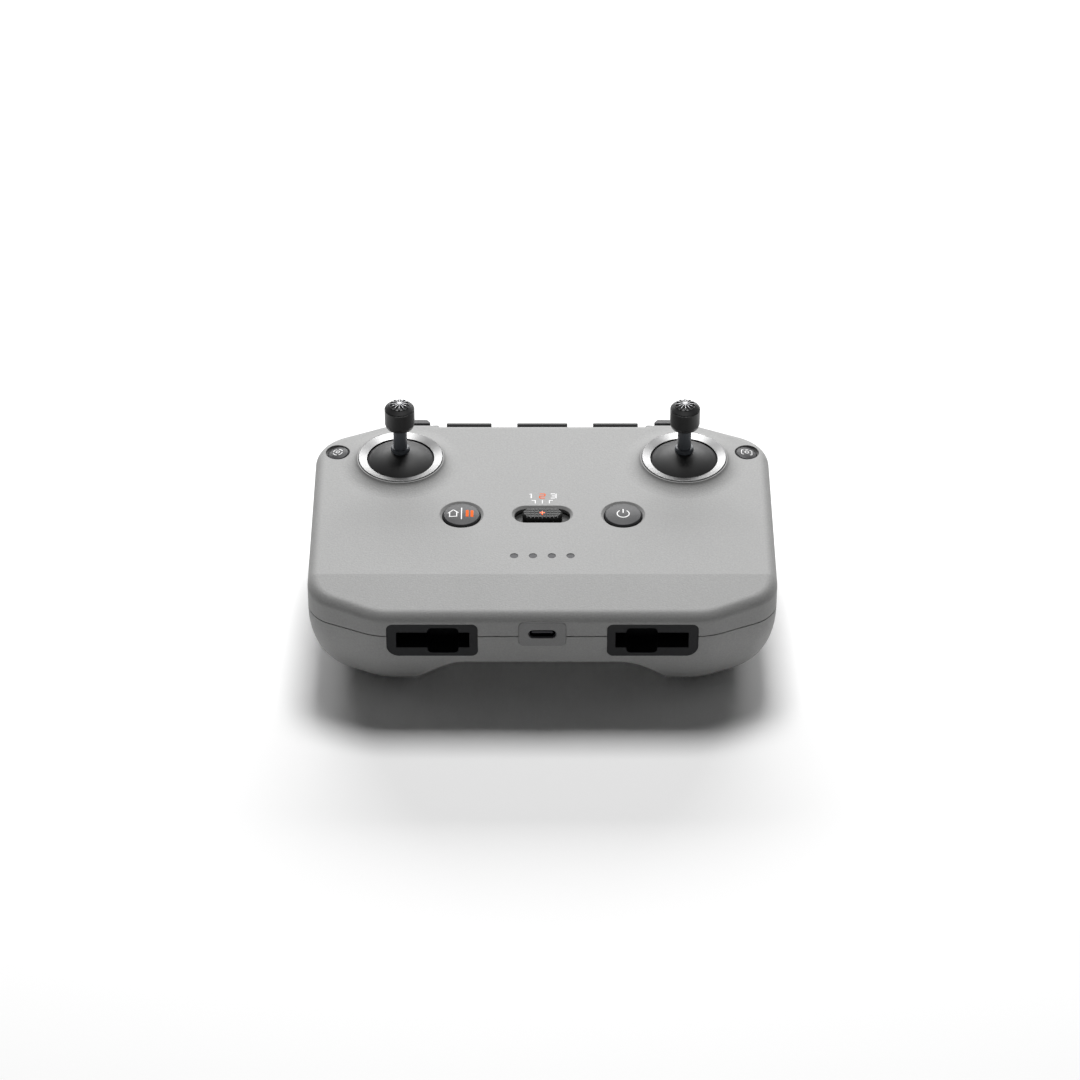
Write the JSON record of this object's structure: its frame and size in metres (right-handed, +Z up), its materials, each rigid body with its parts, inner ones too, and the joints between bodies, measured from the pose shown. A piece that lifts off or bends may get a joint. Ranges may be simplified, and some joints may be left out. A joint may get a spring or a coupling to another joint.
{
  "type": "radio transmitter controller",
  "caption": "Handheld radio control with sprung tilting sticks in metal trim rings, push buttons, a mode slider, a dial and a pull-out phone holder.",
  "frame": {"origin": "middle of the bounding box in plan, at the floor the grips rest on", "axes": "+X to the user's right, +Y away from the user, +Z up"},
  "size_m": [0.15, 0.1042, 0.0667],
  "materials": {
    "casing": "fine matt grain",
    "liner": "matt",
    "bezel": "satin",
    "ring_metal": "turned and polished",
    "plain_steel": "plain",
    "dome": "satin",
    "shaft": "satin",
    "stick_head": "satin",
    "button": "satin",
    "slider": "satin",
    "slider_window": "lit",
    "light_pipe": "smoked",
    "pad_rubber": "matt",
    "holder": "satin",
    "board": "solder mask",
    "cell_wrap": "shrink wrap",
    "inner_plastic": "moulded"
  },
  "bodies": {
    "casing": {"antennas": "board", "board_screws": "plain_steel", "casing_screws": "plain_steel", "cell_contacts": "plain_steel", "custom_board": "board", "custom_switch": "inner_plastic", "dial_pin": "plain_steel", "dial_sensor": "inner_plastic", "gimbal_screws": "plain_steel", "gimbal_sensors": "inner_plastic", "holder_guide": "holder", "holder_spring": "plain_steel", "holder_spring_axle": "plain_steel", "led_chips": "inner_plastic", "led_light_pipe": "light_pipe", "left_battery_cell": "cell_wrap", "left_gimbal_housing": "inner_plastic", "left_stick_slot_liner": "liner", "left_trim_ring": "ring_metal", "lower_casing": "casing", "main_board": "board", "mode_switch": "inner_plastic", "pause_home_switch": "inner_plastic", "photo_video_board": "board", "photo_video_switch": "inner_plastic", "power_switch": "inner_plastic", "radio_shield": "plain_steel", "right_battery_cell": "cell_wrap", "right_gimbal_housing": "inner_plastic", "right_stick_slot_liner": "liner", "right_trim_ring": "ring_metal", "shoulder_boards": "board", "shutter_switch": "inner_plastic", "upper_casing": "casing", "usb_c_receptacle": "plain_steel", "usb_port_bezel": "bezel"},
    "left_cradle": {"left_gimbal_cradle": "inner_plastic"},
    "left_stick": {"left_stick_hub": "inner_plastic", "left_dome_cover": "dome", "left_stick_shaft": "shaft", "left_stick_head": "stick_head"},
    "left_lever": {"left_slotted_lever": "inner_plastic"},
    "right_cradle": {"right_gimbal_cradle": "inner_plastic"},
    "right_stick": {"right_stick_hub": "inner_plastic", "right_dome_cover": "dome", "right_stick_shaft": "shaft", "right_stick_head": "stick_head"},
    "right_lever": {"right_slotted_lever": "inner_plastic"},
    "pause_home_button": {"pause_home_button": "button"},
    "power_button": {"power_button": "button"},
    "custom_button": {"custom_button": "button"},
    "photo_video_button": {"photo_video_button": "button"},
    "mode_slider": {"mode_slider": "slider", "mode_slider_window": "slider_window"},
    "gimbal_dial": {"gimbal_dial": "button"},
    "shutter_button": {"shutter_button": "button"},
    "holder_carriage": {"holder_carriage": "holder"},
    "holder_arm": {"holder_arm": "holder", "holder_pads": "pad_rubber"}
  },
  "joints": [
    {"name": "left_stick_sideways", "type": "hinge", "parent": "casing", "child": "left_cradle", "pos_m": [-0.04675, 0.0272, 0.0319], "axis": [0, 1, 0], "range_deg": [-18, 18], "stiffness_Nm_per_rad": 0.05},
    {"name": "left_stick_fore_aft", "type": "hinge", "parent": "left_cradle", "child": "left_stick", "pos_m": [-0.04675, 0.0272, 0.0319], "axis": [1, 0, 0], "range_deg": [-18, 18], "stiffness_Nm_per_rad": 0.05},
    {"name": "left_lever_swing", "type": "hinge", "parent": "casing", "child": "left_lever", "pos_m": [-0.04675, 0.0272, 0.0319], "axis": [1, 0, 0], "range_deg": [-19, 19]},
    {"name": "right_stick_sideways", "type": "hinge", "parent": "casing", "child": "right_cradle", "pos_m": [0.04675, 0.0272, 0.0319], "axis": [0, 1, 0], "range_deg": [-18, 18], "stiffness_Nm_per_rad": 0.05},
    {"name": "right_stick_fore_aft", "type": "hinge", "parent": "right_cradle", "child": "right_stick", "pos_m": [0.04675, 0.0272, 0.0319], "axis": [1, 0, 0], "range_deg": [-18, 18], "stiffness_Nm_per_rad": 0.05},
    {"name": "right_lever_swing", "type": "hinge", "parent": "casing", "child": "right_lever", "pos_m": [0.04675, 0.0272, 0.0319], "axis": [1, 0, 0], "range_deg": [-19, 19]},
    {"name": "pause_home_press", "type": "slide", "parent": "casing", "child": "pause_home_button", "axis": [0, 0, -1], "range_m": [0, 0.0006], "stiffness_N_per_m": 600, "springref_m": -0.0004},
    {"name": "power_press", "type": "slide", "parent": "casing", "child": "power_button", "axis": [0, 0, -1], "range_m": [0, 0.0006], "stiffness_N_per_m": 600, "springref_m": -0.0004},
    {"name": "custom_press", "type": "slide", "parent": "casing", "child": "custom_button", "axis": [0.1564, 0, -0.9877], "range_m": [0, 0.0005], "stiffness_N_per_m": 600, "springref_m": -0.0004},
    {"name": "photo_video_press", "type": "slide", "parent": "casing", "child": "photo_video_button", "axis": [-0.1564, 0, -0.9877], "range_m": [0, 0.0005], "stiffness_N_per_m": 600, "springref_m": -0.0004},
    {"name": "mode_slide", "type": "slide", "parent": "casing", "child": "mode_slider", "axis": [1, 0, 0], "range_m": [-0.0023, 0.0023]},
    {"name": "dial_turn", "type": "hinge", "parent": "casing", "child": "gimbal_dial", "pos_m": [-0.0435, 0.0466, 0.039], "axis": [0, 0, 1], "range_deg": [-8, 8], "stiffness_Nm_per_rad": 0.02},
    {"name": "shutter_press", "type": "slide", "parent": "casing", "child": "shutter_button", "axis": [0, -1, 0], "range_m": [0, 0.0007], "stiffness_N_per_m": 600, "springref_m": -0.0004},
    {"name": "holder_carriage_slide", "type": "slide", "parent": "casing", "child": "holder_carriage", "axis": [0, 1, 0], "range_m": [0, 0.042], "stiffness_N_per_m": 20, "springref_m": -0.02},
    {"name": "holder_arm_slide", "type": "slide", "parent": "holder_carriage", "child": "holder_arm", "axis": [0, 1, 0], "range_m": [0, 0.042]}
  ],
  "couplings": [
    {"joint": "left_lever_swing", "follows": "left_stick_fore_aft", "ratio": 1},
    {"joint": "right_lever_swing", "follows": "right_stick_fore_aft", "ratio": 1},
    {"joint": "holder_arm_slide", "follows": "holder_carriage_slide", "ratio": 1}
  ]
}
